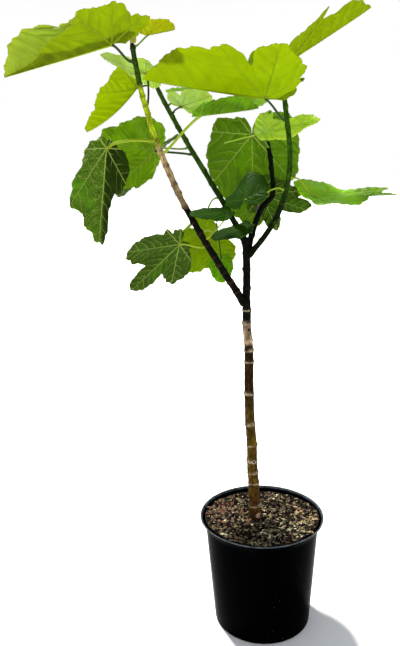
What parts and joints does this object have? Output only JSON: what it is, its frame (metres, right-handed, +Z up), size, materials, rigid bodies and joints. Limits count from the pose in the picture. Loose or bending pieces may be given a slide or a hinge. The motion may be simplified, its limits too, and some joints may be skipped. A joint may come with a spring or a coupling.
{
  "type": "potted fig tree",
  "caption": "Young fig tree in a round nursery pot: a slender upright trunk forking into curved boughs, with large lobed leaves on long stalks.",
  "frame": {"origin": "centre of the pot's flat underside", "axes": "+Z up along the trunk, -Z out of the pot's underside, +Y to the back, +X to the right"},
  "size_m": [0.6539, 0.4954, 1.1985],
  "materials": {
    "pot": "black, slightly glossy, dusty",
    "compost": "moist crumbly compost with bark chips",
    "bark": "grey-brown bark with ring scars",
    "bark_dark": "dark brown bark",
    "bark_green": "smooth green young bark",
    "leaf_sunlit": "yellow-green leaf, light through it",
    "leaf_fresh": "fresh green leaf",
    "leaf_pale": "pale green underside of a leaf",
    "leaf_dark": "dark green upper side of a leaf"
  },
  "bodies": {
    "root": {"pot": "pot", "soil": "compost", "trunk": "bark", "leader": "bark_dark", "bough_left": "bark", "bough_rear": "bark_green", "bough_middle": "bark_dark", "bough_right": "bark_green", "leaf_top_left": "leaf_sunlit", "leaf_left_pendent": "leaf_sunlit", "leaf_left_front": "leaf_dark", "leaf_left_behind": "leaf_fresh", "leaf_serrate": "leaf_fresh", "leaf_pale": "leaf_pale", "leaf_top_centre": "leaf_sunlit", "leaf_pale_left": "leaf_pale", "leaf_young": "leaf_sunlit", "leaf_top_right": "leaf_sunlit", "leaf_veined": "leaf_fresh", "leaf_low_right": "leaf_dark", "leaf_middle_tip": "leaf_pale", "leaf_dark_inner": "leaf_dark", "leaf_narrow_left": "leaf_dark", "leaf_narrow_low": "leaf_dark", "leaf_round": "leaf_fresh", "leaf_lobed": "leaf_dark", "leaf_left_low": "leaf_fresh", "leaf_right": "leaf_fresh", "leaf_back_upper": "leaf_fresh", "leaf_back_left": "leaf_dark", "leaf_back_right": "leaf_fresh", "leaf_back_low": "leaf_dark"}
  },
  "joints": []
}
